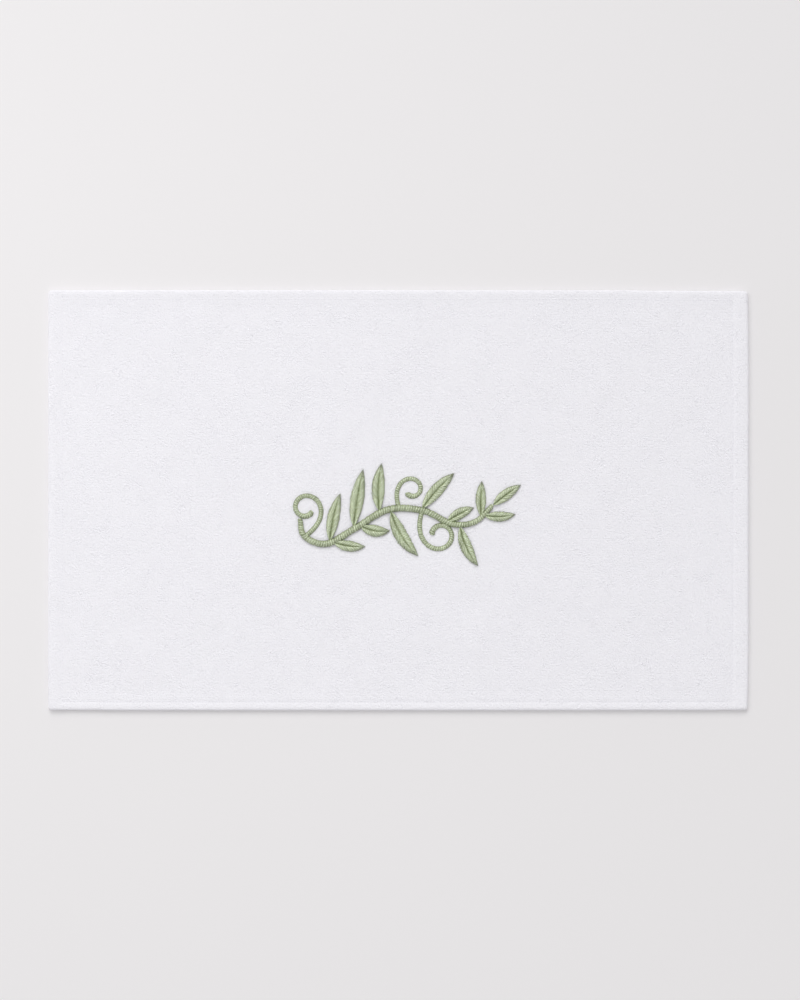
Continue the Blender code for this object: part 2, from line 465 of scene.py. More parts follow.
def tubes(path, across, radius, sides=6, flat=1.0):
    """Closed tubes along many paths at once. path is (tubes, points, 3), across a
    direction square to each path, radius (tubes, points), flat the height of the
    section to its width. The end points close the tubes. Returns points and
    triangles."""
    n, m, _ = path.shape
    tang = np.gradient(path, axis=1)
    tang /= np.maximum(np.linalg.norm(tang, axis=2, keepdims=True), 1e-9)
    b = across - (across * tang).sum(2, keepdims=True) * tang
    b /= np.maximum(np.linalg.norm(b, axis=2, keepdims=True), 1e-9)
    c = np.cross(tang, b)
    up = np.where(c[..., 2].sum(1) < 0, -1.0, 1.0)[:, None, None]
    b, c = b * up, c * up
    rings = path[:, 1:-1]
    # the first point of a ring is at the bottom
    ang = np.linspace(0, 2 * pi, sides, endpoint=False) - pi / 2
    ring = (rings[:, :, None]
            + radius[:, 1:-1, None, None]
            * (np.cos(ang)[:, None] * b[:, 1:-1, None]
               + flat * np.sin(ang)[:, None] * c[:, 1:-1, None]))
    per = (m - 2) * sides + 2
    verts = np.concatenate(
        [path[:, :1], ring.reshape(n, -1, 3), path[:, -1:]], axis=1)
    tri = []
    for j in range(m - 3):
        for k in range(sides):
            a = 1 + j * sides + k
            bb = 1 + j * sides + (k + 1) % sides
            tri.append((a, bb, bb + sides))
            tri.append((a, bb + sides, a + sides))
    last = 1 + (m - 3) * sides
    for k in range(sides):
        tri.append((0, 1 + (k + 1) % sides, 1 + k))
        tri.append((per - 1, last + k, last + (k + 1) % sides))
    tri = np.array(tri)
    faces = (tri[None] + (np.arange(n) * per)[:, None, None]).reshape(-1, 3)
    return verts.reshape(-1, 3), faces


# ================================================================= materials
def node_material(name):
    m = bpy.data.materials.new(name)
    m.use_nodes = True
    tree = m.node_tree
    return m, tree, tree.nodes["Principled BSDF"]


def add(tree, kind, **values):
    node = tree.nodes.new(kind)
    for key, value in values.items():
        if key in node.inputs:
            node.inputs[key].default_value = value
        else:
            setattr(node, key, value)
    return node


def cotton(name, colour, bump_scale, bump_height, spots, nubs=0.0):
    """White cotton: a matt surface with a soft sheen, faint uneven colour and
    fine bump, and where nubs is more than nothing, rounded knots of yarn."""
    m, tree, shader = node_material(name)
    link = tree.links.new
    where = add(tree, "ShaderNodeTexCoord")
    broad = add(tree, "ShaderNodeTexNoise", Scale=55.0, Detail=3.0, Roughness=0.6)
    fine = add(tree, "ShaderNodeTexNoise", Scale=420.0, Detail=2.0, Roughness=0.5)
    link(where.outputs["Object"], broad.inputs["Vector"])
    link(where.outputs["Object"], fine.inputs["Vector"])
    both = add(tree, "ShaderNodeMath", operation="ADD")
    link(broad.outputs["Fac"], both.inputs[0])
    link(fine.outputs["Fac"], both.inputs[1])
    ramp = add(tree, "ShaderNodeMapRange")
    ramp.inputs["From Min"].default_value = 0.6
    ramp.inputs["From Max"].default_value = 1.4
    link(both.outputs[0], ramp.inputs["Value"])
    mix = add(tree, "ShaderNodeMix", data_type="RGBA")
    mix.inputs[6].default_value = (*[c * (1 - spots) for c in colour], 1)
    mix.inputs[7].default_value = (*[min(1, c * (1 + spots)) for c in colour], 1)
    link(ramp.outputs["Result"], mix.inputs[0])
    link(mix.outputs[2], shader.inputs["Base Color"])
    rough = add(tree, "ShaderNodeMapRange")
    rough.inputs["To Min"].default_value = 0.88
    rough.inputs["To Max"].default_value = 1.0
    link(fine.outputs["Fac"], rough.inputs["Value"])
    link(rough.outputs["Result"], shader.inputs["Roughness"])
    grain = add(tree, "ShaderNodeTexNoise", Scale=bump_scale, Detail=2.0)
    link(where.outputs["Object"], grain.inputs["Vector"])
    bump = add(tree, "ShaderNodeBump", Strength=1.0, Distance=bump_height)
    link(grain.outputs["Fac"], bump.inputs["Height"])
    if nubs:
        # cells pulled out of shape by noise, so that they read as curled yarn
        warp = add(tree, "ShaderNodeVectorMath", operation="MULTIPLY_ADD")
        warp.inputs[1].default_value = (0.0016, 0.0016, 0.0016)
        link(fine.outputs["Color"], warp.inputs[0])
        link(where.outputs["Object"], warp.inputs[2])
        cells = add(tree, "ShaderNodeTexVoronoi", feature="SMOOTH_F1", Scale=720.0,
                    Smoothness=0.35)
        link(warp.outputs["Vector"], cells.inputs["Vector"])
        dome = add(tree, "ShaderNodeMath", operation="MULTIPLY")
        dome.inputs[1].default_value = -1.0
        link(cells.outputs["Distance"], dome.inputs[0])
        knots = add(tree, "ShaderNodeBump", Strength=1.0, Distance=nubs)
        link(dome.outputs[0], knots.inputs["Height"])
        link(knots.outputs["Normal"], bump.inputs["Normal"])
    link(bump.outputs["Normal"], shader.inputs["Normal"])
    shader.inputs["Specular IOR Level"].default_value = 0.2
    shader.inputs["Sheen Weight"].default_value = 0.15
    shader.inputs["Sheen Roughness"].default_value = 0.6
    return m


def satin(name, colour):
    """Glossy stitching thread of two twisted plies, along the UV map thread. It has a
    painted highlight along its top and painted shade where it meets its neighbours, and
    each thread is a little lighter or darker by its attribute tone, which holds random tone
    and painted shade."""
    m, tree, shader = node_material(name)
    link = tree.links.new
    uv = add(tree, "ShaderNodeUVMap", uv_map="thread")
    split = add(tree, "ShaderNodeSeparateXYZ")
    link(uv.outputs["UV"], split.inputs[0])
    # the plies wind round the thread once in 2.2 mm
    wind = add(tree, "ShaderNodeMath", operation="MULTIPLY")
    wind.inputs[1].default_value = 2 * pi / 1.1
    link(split.outputs["X"], wind.inputs[0])
    round_it = add(tree, "ShaderNodeMath", operation="MULTIPLY_ADD")
    round_it.inputs[1].default_value = 2 * pi * 2
    link(split.outputs["Y"], round_it.inputs[0])
    link(wind.outputs[0], round_it.inputs[2])
    wave = add(tree, "ShaderNodeMath", operation="SINE")
    link(round_it.outputs[0], wave.inputs[0])
    # 0 at the sides of a thread and 1 along its top: painted shade at the sides, painted
    # highlight along the top
    turn = add(tree, "ShaderNodeMath", operation="MULTIPLY")
    turn.inputs[1].default_value = 2 * pi
    link(split.outputs["Y"], turn.inputs[0])
    down = add(tree, "ShaderNodeMath", operation="COSINE")
    link(turn.outputs[0], down.inputs[0])
    crest_painted_light = add(tree, "ShaderNodeMapRange")
    crest_painted_light.inputs["From Min"].default_value = 0.25
    crest_painted_light.inputs["From Max"].default_value = -0.9
    crest_painted_light.inputs["To Min"].default_value = CREST_PAINTED_LIGHT[0]
    crest_painted_light.inputs["To Max"].default_value = CREST_PAINTED_LIGHT[1]
    link(down.outputs[0], crest_painted_light.inputs["Value"])

    where = add(tree, "ShaderNodeTexCoord")
    fibre = add(tree, "ShaderNodeTexNoise", Scale=900.0, Detail=3.0, Roughness=0.6)
    link(where.outputs["Object"], fibre.inputs["Vector"])
    # the attribute tone holds random tone by thread and rib together with painted shade: on
    # the lower thread of a rib, at thread feet and on the padding
    own = add(tree, "ShaderNodeAttribute", attribute_name="tone")
    tone = add(tree, "ShaderNodeMath", operation="MULTIPLY_ADD")
    tone.inputs[1].default_value = 0.12
    link(own.outputs["Fac"], tone.inputs[0])
    link(fibre.outputs["Fac"], tone.inputs[2])
    ramp = add(tree, "ShaderNodeMapRange")
    ramp.inputs["From Min"].default_value = 0.15
    ramp.inputs["From Max"].default_value = 0.85
    link(tone.outputs[0], ramp.inputs["Value"])
    mix = add(tree, "ShaderNodeMix", data_type="RGBA")
    # the darks are greener as painted shade and the lights paler as a painted shine
    dark, light = 1.0 - SATIN_TONE_AND_PAINTED_LIGHT, 1.0 + SATIN_TONE_AND_PAINTED_LIGHT
    r, g, b = colour
    mix.inputs[6].default_value = (r * dark, g * dark * 1.03, b * dark * 0.78, 1)
    mix.inputs[7].default_value = (r * light, g * light * 0.98, b * light * 1.12, 1)
    link(ramp.outputs["Result"], mix.inputs[0])
    shade = add(tree, "ShaderNodeVectorMath", operation="SCALE")
    link(mix.outputs[2], shade.inputs[0])
    link(crest_painted_light.outputs["Result"], shade.inputs["Scale"])
    # the painted shade and highlight round each thread multiply its colour
    link(shade.outputs["Vector"], shader.inputs["Base Color"])
    bump = add(tree, "ShaderNodeBump", Strength=0.7, Distance=0.00005)
    link(wave.outputs[0], bump.inputs["Height"])
    link(bump.outputs["Normal"], shader.inputs["Normal"])
    rough = add(tree, "ShaderNodeMapRange")
    rough.inputs["To Min"].default_value = 0.20
    rough.inputs["To Max"].default_value = 0.32
    link(fibre.outputs["Fac"], rough.inputs["Value"])
    link(rough.outputs["Result"], shader.inputs["Roughness"])
    shader.inputs["IOR"].default_value = 1.9
    shader.inputs["Specular IOR Level"].default_value = 1.0
    shader.inputs["Sheen Weight"].default_value = 0.05
    shader.inputs["Sheen Roughness"].default_value = 0.35
    shader.inputs["Sheen Tint"].default_value = (0.9, 1.0, 0.8, 1.0)
    return m


def plain_floor():
    m, tree, shader = node_material("floor_paint")
    where = add(tree, "ShaderNodeTexCoord")
    tone = add(tree, "ShaderNodeTexNoise", Scale=3.0, Detail=2.0)
    tree.links.new(where.outputs["Object"], tone.inputs["Vector"])
    mix = add(tree, "ShaderNodeMix", data_type="RGBA")
    mix.inputs[6].default_value = (0.887, 0.870, 0.878, 1)
    mix.inputs[7].default_value = (0.895, 0.878, 0.886, 1)
    tree.links.new(tone.outputs["Fac"], mix.inputs[0])
    tree.links.new(mix.outputs[2], shader.inputs["Base Color"])
    shader.inputs["Roughness"].default_value = 0.9
    shader.inputs["Specular IOR Level"].default_value = 0.1
    return m


# ================================================================= the cloth
def hem_lines(hem):
    """Lines across one edge of the cloth mesh, from the fold inwards."""
    band = np.linspace(3.2, hem - 1.6, max(3, int(round((hem - 4.8) / 1.6)) + 1))
    rest = [hem + d for d in (-0.8, 0.0, 0.8, 1.55, 1.8, 3.2, 5.0, 7.0, 9.2)]
    return np.concatenate([[0.0, 0.08, 0.25, 0.55, 1.0, 1.6, 2.4], band, rest])


def lines(size, hem, far_hem, cell):
    near, far = hem_lines(hem), size - hem_lines(far_hem)[::-1]
    n = int(round((far[0] - near[-1]) / cell))
    middle = np.linspace(near[-1], far[0], n + 1)[1:-1]
    return np.concatenate([near, middle, far])


def make_cloth(material):
    ax = lines(LENGTH, LEFT_HEM, END_HEM, 2.8)
    ay = lines(WIDTH, SIDE_HEM, SIDE_HEM, 2.8)
    nx, ny = len(ax), len(ay)
    gx, gy = np.meshgrid(ax, ay, indexing="ij")
    x, y, dx, dy = spread(gx, gy)
    inside = smooth(np.minimum(dx, dy) / 3.0)
    clump = (0.08 * noise(x, y, 7.0, 11) + 0.05 * noise(x, y, 3.4, 12)) * inside
    top = face_height(x, y, dx, dy) - pile_depth(dx, dy) + clump
    past = np.minimum(dx - END_HEM, dy - SIDE_HEM)
    low = under_height(dx, dy)
    low = low + (0.10 + 0.10 * noise(x, y, 4.1, 13)) * smooth((past - 2.5) / 4.0)
    # the ground stays over the underside
    top = np.maximum(top, low + 0.3)
    edge = np.zeros((nx, ny), bool)
    edge[[0, -1], :] = edge[:, [0, -1]] = True
    top = np.where(edge, RIM_HALF, top)
    up = np.arange(nx * ny).reshape(nx, ny)
    down = np.full((nx, ny), -1)
    down[~edge] = nx * ny + np.arange((~edge).sum())
    down[edge] = up[edge]
    verts = np.concatenate([
        np.column_stack([x.ravel(), y.ravel(), top.ravel()]),
        np.column_stack([x[~edge], y[~edge], low[~edge]]),
    ])

    def quads(ids, flip):
        q = np.stack([ids[:-1, :-1], ids[1:, :-1], ids[1:, 1:], ids[:-1, 1:]], -1)
        q = q.reshape(-1, 4)
        return q[:, ::-1] if flip else q

    faces = np.vstack([quads(up, False), quads(down, True)])
    ob = mesh_object("towel_cloth_face", verts, faces, material)
    # bake map: the face on the left, the underside on the right
    layer = ob.data.uv_layers.new(name="OFBake")
    co = verts[faces.ravel()][:, :2]
    u = (co[:, 0] / LENGTH + 0.5) * 0.98 + 0.01
    v = (co[:, 1] / WIDTH + 0.5) * 0.485 + 0.005
    v = v + np.repeat(np.arange(len(faces)) < len(faces) // 2, 4) * 0.5
    layer.uv.foreach_set("vector", np.column_stack([u, v]).astype(np.float32).ravel())
    return ob


def surface_at(ax, ay, under):
    """Points of the ground under the pile and the normals there; where under is
    true, of the underside."""
    def at(a, b):
        x, y, dx, dy = spread(a, b)
        z = face_height(x, y, dx, dy) - pile_depth(dx, dy)
        return np.stack([x, y, np.where(under, under_height(dx, dy), z)], -1)
    e = 0.15
    p = at(ax, ay)
    lo_x, hi_x = np.maximum(ax - e, 0.0), np.minimum(ax + e, LENGTH)
    lo_y, hi_y = np.maximum(ay - e, 0.0), np.minimum(ay + e, WIDTH)
    u = at(hi_x, ay) - at(lo_x, ay)
    v = at(ax, hi_y) - at(ax, lo_y)
    n = np.cross(u, v) * np.where(under, -1.0, 1.0)[:, None]
    n /= np.maximum(np.linalg.norm(n, axis=-1, keepdims=True), 1e-9)
    return p, n


def edge_row(d, step, rng):
    """Places all round the cloth at distance d from its edges."""
    k, m = np.arange(d, LENGTH - d, step), np.arange(d, WIDTH - d, step)
    k2, m2 = k + rng.normal(0, 0.2, len(k)), m + rng.normal(0, 0.2, len(m))
    ax = np.concatenate([k2, k, np.full(len(m), d), np.full(len(m), LENGTH - d)])
    ay = np.concatenate([np.full(len(k), d), np.full(len(k), WIDTH - d), m2, m])
    return ax, ay


def pile_roots(rng):
    """Where the loops stand, as distances along the two edges, and which of them
    are on the lower half of the rounded fold."""
    nx, ny = int(LENGTH / PILE_PITCH), int(WIDTH / PILE_PITCH)
    i, j = np.meshgrid(np.arange(nx), np.arange(ny), indexing="ij")
    ax = (i + 0.5 + 0.25 * np.where(j % 2, 1, -1)) * LENGTH / nx
    ay = (j + 0.5) * WIDTH / ny
    ax = (ax + rng.normal(0, 0.38, ax.shape)).ravel()
    ay = (ay + rng.normal(0, 0.38, ay.shape)).ravel()
    inner = (np.minimum(ax, LENGTH - ax) > 1.6) & (np.minimum(ay, WIDTH - ay) > 1.6)
    ax, ay = ax[inner], ay[inner]
    # the fold's curve is longer than its plan, so it gets rows of its own
    rows = [edge_row(d, step, rng) for d, step in FOLD_ROWS_ABOVE + FOLD_ROWS_BELOW]
    below = sum(len(row[0]) for row in rows[len(FOLD_ROWS_ABOVE):])
    ax = np.concatenate([ax] + [row[0] for row in rows])
    ay = np.concatenate([ay] + [row[1] for row in rows])
    under = np.arange(len(ax)) >= len(ax) - below
    return (np.clip(ax, 0.02, LENGTH - 0.02), np.clip(ay, 0.02, WIDTH - 0.02), under)


def edge_heading(ax, ay):
    """Direction of the outline beside a place, that of the arc at a corner."""
    dx, dy = np.minimum(ax, LENGTH - ax), np.minimum(ay, WIDTH - ay)
    vx = np.maximum(CORNER_RADIUS - dx, 0.0) * np.where(ax < LENGTH / 2, -1.0, 1.0)
    vy = np.maximum(CORNER_RADIUS - dy, 0.0) * np.where(ay < WIDTH / 2, -1.0, 1.0)
    corner = (vx != 0) & (vy != 0)
    return np.where(corner, np.arctan2(vx, -vy), np.where(dx < dy, pi / 2, 0.0)), corner


def make_pile(material):
    """The loops that stand on the face: short bent lengths of yarn, flattened a
    little, each with both ends in the ground."""
    rng = np.random.default_rng(7)
    ax, ay, under = pile_roots(rng)
    x, y, dx, dy = spread(ax, ay)
    keep = (sprig_gap(x, y) > 0.2) & (stitch_reach(dx, dy) > 0.3)
    ax, ay, dx, dy, x, y, under = (v[keep] for v in (ax, ay, dx, dy, x, y, under))
    n = len(ax)
    p, normal = surface_at(ax, ay, under)
    # on the fold the loops lie along the edge
    rim = 1.0 - smooth((np.minimum(dx, dy) - 1.2) / 1.6)
    turn = rng.uniform(0, 2 * pi, n)
    ahead, corner = edge_heading(ax, ay)
    turn = np.where(rim > 0.5, ahead + rng.normal(0, 0.25, n) * ~corner, turn)
    ref = np.stack([np.cos(turn), np.sin(turn), np.zeros(n)], 1)
    t = ref - (ref * normal).sum(1, keepdims=True) * normal
    t /= np.maximum(np.linalg.norm(t, axis=1, keepdims=True), 1e-9)
    side = np.cross(normal, t)
    press = smooth((stitch_reach(dx, dy) - 0.6) / 1.6)
    press = np.minimum(press, 0.90 + 0.10 * smooth(sprig_gap(x, y) / 2.0))
    tall = pile_depth(dx, dy) * (0.60 + 0.40 * press) * (
        0.92 + 0.16 * noise(x, y, 9.0, 21) + rng.normal(0, 0.12, n))
    tall = tall + FOLD_TALL * rim * rng.uniform(0.6, 1.4, n)
    half = rng.uniform(*LOOP_HALF, n) * (1.0 - 0.3 * rim) * np.where(corner, 0.6, 1.0)
    wide = rng.uniform(*LOOP_WIDE, n) * (1.0 - 0.25 * rim)
    bow = rng.uniform(-LOOP_BOW, LOOP_BOW, n) * (1.0 - 0.7 * rim) * ~corner
    lean = rng.normal(0, 0.15, n)
    tip = rng.uniform(0.85, 1.15, n)
    c = lambda v: v[:, None]

    def ring(at, high):
        mid = p + t * c(half * at + lean) + side * c(bow * 0.6)
        return np.stack([mid + normal * c(tall * high),
                         mid + side * c(wide) - normal * c(wide * 0.42),
                         mid - side * c(wide) - normal * c(wide * 0.42)], 1)

    first = p - t * c(half) - side * c(bow * 0.5) - normal * LOOP_SINK
    last = p + t * c(half) - side * c(bow * 0.5) - normal * LOOP_SINK
    verts = np.concatenate([first[:, None], ring(-0.42, tip), ring(0.42, 2.0 - tip),
                            last[:, None]], 1)
    tri = np.array([(0, 1, 2), (0, 2, 3), (0, 3, 1),
                    (1, 4, 5), (1, 5, 2), (2, 5, 6), (2, 6, 3), (3, 6, 4), (3, 4, 1),
                    (7, 5, 4), (7, 6, 5), (7, 4, 6)])
    made = []
    order = np.argsort(x, kind="stable")
    for k, part in enumerate(np.array_split(order, PILE_PARTS)):
        v = verts[part].reshape(-1, 3)
        f = (tri[None] + (np.arange(len(part)) * 8)[:, None, None]).reshape(-1, 3)
        low, span = v[:, :2].min(0), np.ptp(v[:, :2], axis=0)
        uv = (v[:, :2] - low) / span * 0.98 + 0.01
        made.append(mesh_object(f"towel_pile_{k + 1}", v, f, material, {"OFBake": uv}))
    print("pile loops", n, "triangles", 12 * n)
    return made


# ============================================================== the stitching
def frame_walk(step):
    """Evenly spaced places along the stitch line, as distances ax, ay, with the
    direction there."""
    x0, x1, y0, y1 = LEFT_HEM, LENGTH - END_HEM, SIDE_HEM, WIDTH - SIDE_HEM
    out = []
    for (ax, ay), (bx, by) in (((x0, y0), (x1, y0)), ((x1, y0), (x1, y1)),
                               ((x1, y1), (x0, y1)), ((x0, y1), (x0, y0))):
        size = hypot(bx - ax, by - ay)
        n = int(round(size / step))
        for k in range(n):
            t0, t1 = k / n, (k + 1) / n
            out.append((ax + (bx - ax) * t0, ay + (by - ay) * t0,
                        ax + (bx - ax) * t1, ay + (by - ay) * t1))
    return np.array(out)


def make_stitches(material):
    rng = np.random.default_rng(5)
    walk = frame_walk(STITCH)
    n = len(walk)
    m = 6
    s = np.linspace(0, 1, m)
    wob = rng.normal(0, 0.10, (n, 2))
    fx = walk[:, 0, None] + (walk[:, 2] - walk[:, 0])[:, None] * (0.06 + 0.88 * s)
    fy = walk[:, 1, None] + (walk[:, 3] - walk[:, 1])[:, None] * (0.06 + 0.88 * s)
    dirs = walk[:, 2:] - walk[:, :2]
    dirs /= np.linalg.norm(dirs, axis=1, keepdims=True)
    perp = np.stack([-dirs[:, 1], dirs[:, 0]], 1)
    slant = (s - 0.5)[None] * 0.22
    fx = fx + perp[:, :1] * (wob[:, :1] + slant)
    fy = fy + perp[:, 1:] * (wob[:, :1] + slant)
    verts_all, faces_all, uv_all = [], [], []
    count = 0
    for under in (False, True):
        x, y, dx, dy = spread(fx, fy)
        arch = np.sin(pi * s) ** 0.5
        if under:
            z = 0.55 - 0.28 * arch[None] + np.zeros_like(x)
        else:
            ground = face_height(x, y, dx, dy) - pile_depth(dx, dy)
            z = ground - 0.45 + (0.45 + SEW_THREAD * 1.3) * arch[None]
        path = np.stack([x, y, z], -1)
        across = np.repeat(np.column_stack([perp, np.zeros(n)])[:, None], m, 1)
        radius = np.full((n, m), SEW_THREAD)
        verts, faces = tubes(path, across, radius, sides=5)
        verts_all.append(verts)
        faces_all.append(faces + count)
        count += len(verts)
    verts = np.vstack(verts_all)
    faces = np.vstack(faces_all)
    low, span = verts[:, :2].min(0), np.ptp(verts[:, :2], axis=0)
    uv = (verts[:, :2] - low) / span * 0.98 + 0.01
    ob = mesh_object("hem_stitches", verts, faces, material, {"OFBake": uv})
    print("stitches", n * 2, "triangles", len(faces))
    return ob


# ============================================================= satin columns
def ground_at(x, y):
    """Height of the cloth's ground at plan places well inside the hems."""
    dx = np.minimum(x + LENGTH / 2, LENGTH / 2 - x)
    dy = np.minimum(y + WIDTH / 2, WIDTH / 2 - y)
    return face_height(x, y, dx, dy) - pile_depth(dx, dy)


def sample(line, s):
    """Points of a curve at shares s of its length."""
    t = np.linspace(0, 1, len(line))
    return np.stack([np.interp(s, t, c) for c in line.T], -1)


def laid(n):
    """Places of n threads along a column, and how far each is from the crest of
    its rib, 0 to 1."""
    k = np.arange(n)
    return k + 0.5, k % RIB / (RIB - 1)


def by_rib(n, rng, spread_out):
    """One random number for all the threads of a rib."""
    return np.repeat(rng.normal(0, spread_out, n // RIB + 1), RIB)[:n]


def cord_threads(column, rng):
    """Threads laid side by side right across a column, over its padding."""
    line, half = column.line, column.half
    long = np.hypot(*np.diff(line, axis=0).T).sum()
    fine = 0.9 if column.kind == "curl" else 1.0
    n = max(4, int(long / (THREAD_PITCH * fine)))
    place, off = laid(n)
    t = (place + rng.normal(0, 0.10, n)) / n
    tang, norm = along(line)
    mid, tg, nm = sample(line, t), sample(tang, t), sample(norm, t)
    w = np.interp(t, np.linspace(0, 1, len(line)), half)
    # both ends of a column are rounded off
    ends = np.minimum(t, 1 - t) * long
    w = w * np.sqrt(np.clip(1 - (1 - np.clip(ends / (w * 0.9), 0, 1)) ** 2, 0.15, 1))
    w = w * (1 + rng.normal(0, 0.03, n) - 0.04 * off)
    tall = 0.45 + 0.88 * w - 0.20 * off + rng.normal(0, 0.04, n) + by_rib(n, rng, 0.04)
    m = 8
    u = np.sin(np.linspace(-pi / 2, pi / 2, m))
    slant = 0.24 * w
    plan = (mid[:, None] + nm[:, None] * (u[None, :, None] * w[:, None, None])
            + tg[:, None] * (u[None, :, None] * slant[:, None, None]))
    rise = np.clip(1 - np.abs(u) ** 2, 0, 1) ** 0.72
    return plan, rise[None] * tall[:, None], tg, fine, off


def leaf_threads(column, side_of, rng):
    """One half of a leaf: threads from the rib to the edge, slanting forward."""
    line = column.line
    long = np.hypot(*np.diff(line, axis=0).T).sum()
    half = column.half.max()
    n = int(long * (1 - STALK) / THREAD_PITCH) + 1
    place, off = laid(n)
    t = STALK + (1 - STALK) * (place - 0.15 + rng.normal(0, 0.10, n)) / n
    t = np.clip(t - 0.045, 0, 1)
    t2 = np.clip(t + 0.14 + 0.04 * np.sin(pi * t), 0, 1)
    tang, norm = along(line)
    w = leaf_half(t2, half) * (1 + rng.normal(0, 0.03, n) - 0.05 * off)
    a = sample(line, t) - sample(norm, t) * side_of * 0.15
    b = sample(line, t2) + sample(norm, t2) * (w * side_of)[:, None]
    reach = np.linalg.norm(b - a, axis=1)
    tg = sample(tang, t)
    m = 8
    u = 0.5 - 0.5 * np.cos(np.linspace(0, pi, m))
    plan = a[:, None] + (b - a)[:, None] * u[None, :, None]
    tall = (0.5 + 0.38 * np.minimum(reach, 6.5) - 0.26 * off
            + rng.normal(0, 0.05, n) + by_rib(n, rng, 0.07))
    rise = np.clip(1 - np.abs(2 * u - 1) ** 2, 0, 1) ** 0.7
    rise[0], rise[1] = 0.18, max(rise[1], 0.42)
    return plan, rise[None] * tall[:, None], tg, 1.0, off


def padding(column):
    """A low rounded roll along a column, under its threads."""
    line, half = column.line[::3], column.half[::3]
    if len(line) < 5:
        return None
    w = np.maximum(half * (0.66 if column.kind == "leaf" else 0.8), 0.25)
    w[0] = w[-1] = 0.2
    tall = (0.16 if column.kind == "leaf" else 0.55) * half + 0.35
    z = ground_at(line[:, 0], line[:, 1]) + column.lift - 0.25
    path = np.column_stack([line, z])[None]
    _, norm = along(line)
    across = np.column_stack([norm, np.zeros(len(norm))])[None]
    verts, faces = tubes(path, across, w[None], sides=10)
    # the ring heights are squashed to the padding's own height
    inner = verts[1:-1].reshape(len(line) - 2, 10, 3)
    inner[..., 2] = z[1:-1, None] + (inner[..., 2] - z[1:-1, None]) * (
        tall / w)[1:-1, None]
    return verts, faces, len(line)


def make_sprig(material):
    rng = np.random.default_rng(31)
    groups = {"sprig_curls": [], "sprig_leaves": [], "sprig_stem": []}
    into = {"curl": "sprig_curls", "leaf": "sprig_leaves", "stem": "sprig_stem"}
    pads = {name: [] for name in groups}
    for column in PLAN:
        name = into[column.kind]
        pads[name].append(padding(column))
        if column.kind == "leaf":
            for side_of in (1, -1):
                groups[name].append((column, leaf_threads(column, side_of, rng)))
        else:
            groups[name].append((column, cord_threads(column, rng)))
    made = []
    sides = 6
    for name, parts in groups.items():
        verts_all, faces_all, thread_all, bake_all, tone_and_painted_shade_all = [], [], [], [], []
        count = cell = 0
        total = sum(len(p[1][0]) for p in parts)
        cols = int(np.ceil(np.sqrt(total + len(pads[name]))))
        for column, (plan, rise, tg, fine, off) in parts:
            n, m, _ = plan.shape
            ground = ground_at(plan[..., 0], plan[..., 1])
            z = ground - 0.45 + rise + column.lift * (rise > 0.25)
            path = np.concatenate([plan, z[..., None]], -1)
            across = np.repeat(np.column_stack([tg, np.zeros(n)])[:, None], m, 1)
            radius = np.full((n, m), THREAD * fine) * (1 + rng.normal(0, 0.04, (n, 1)))
            verts, faces = tubes(path, across, radius, sides, THREAD_FLAT)
            # thread map: mm along the thread, share of the way round it
            run = np.concatenate([np.zeros((n, 1)), np.cumsum(
                np.linalg.norm(np.diff(path, axis=1), axis=2), axis=1)], 1)
            u = np.concatenate([run[:, :1], np.repeat(
                run[:, 1:-1, None], sides, 2).reshape(n, -1), run[:, -1:]], 1)
            v = np.broadcast_to(np.arange(sides) / sides, (n, m - 2, sides))
            v = np.concatenate([np.full((n, 1), 0.5), v.reshape(n, -1),
                                np.full((n, 1), 0.5)], 1)
            ids = cell + np.arange(n)
            cell += n
            bu = (ids % cols)[:, None] + 0.08 + 0.84 * u / run[:, -1:]
            bv = (ids // cols)[:, None] + 0.08 + 0.84 * v
            verts_all.append(verts)
            faces_all.append(faces + count)
            count += len(verts)
            thread_all.append(np.stack([u, v], -1).reshape(-1, 2))
            bake_all.append(np.stack([bu, bv], -1).reshape(-1, 2) / cols)
            # each rib has its own random tone; the lower thread of each rib is painted
            # darker as shade, and every thread gets painted shade where it dives into the
            # cloth
            tone = rng.normal(0, 0.35, n) + by_rib(n, rng, 0.4) + 0.9 - 2.4 * off
            # painted shade: how low each point lies on its thread, darkest at the feet
            low = 1 - rise / rise.max(1, keepdims=True)
            low = np.concatenate([low[:, :1], np.repeat(low[:, 1:-1], sides, 1),
                                  low[:, -1:]], 1)
            tone_and_painted_shade_all.append((tone[:, None] - FOOT_PAINTED_SHADE * low ** 1.2).ravel())
        for pad in pads[name]:
            if pad is None:
                continue
            verts, faces, rows = pad
            u = np.concatenate([[0], np.repeat(np.arange(1, rows - 1), 10), [rows - 1]])
            v = np.concatenate([[0], np.tile(np.arange(10) / 10, rows - 2), [0]])
            bu = cell % cols + 0.08 + 0.84 * u / (rows - 1)
            bv = cell // cols + 0.08 + 0.84 * v
            cell += 1
            verts_all.append(verts)
            faces_all.append(faces + count)
            count += len(verts)
            thread_all.append(np.stack([u * 1.5, v], -1))
            bake_all.append(np.stack([bu, bv], -1) / cols)
            # the padding is painted dark, as shade in the gaps between the threads
            tone_and_painted_shade_all.append(np.full(len(verts), -2.6))
        verts, faces = np.vstack(verts_all), np.vstack(faces_all)
        ob = mesh_object(name, verts, faces, material, {
            "thread": np.vstack(thread_all), "OFBake": np.vstack(bake_all)})
        tone = ob.data.attributes.new("tone", "FLOAT", "POINT")
        tone.data.foreach_set("value", np.concatenate(tone_and_painted_shade_all).astype(np.float32))
        made.append(ob)
        print(name, "threads", total, "triangles", len(faces))
    return made


# ======================================================= floor, light, camera
PIXEL = 0.9075                     # mm of floor to one pixel of an 800 x 1000 frame
VIEW_HEIGHT = 4.0
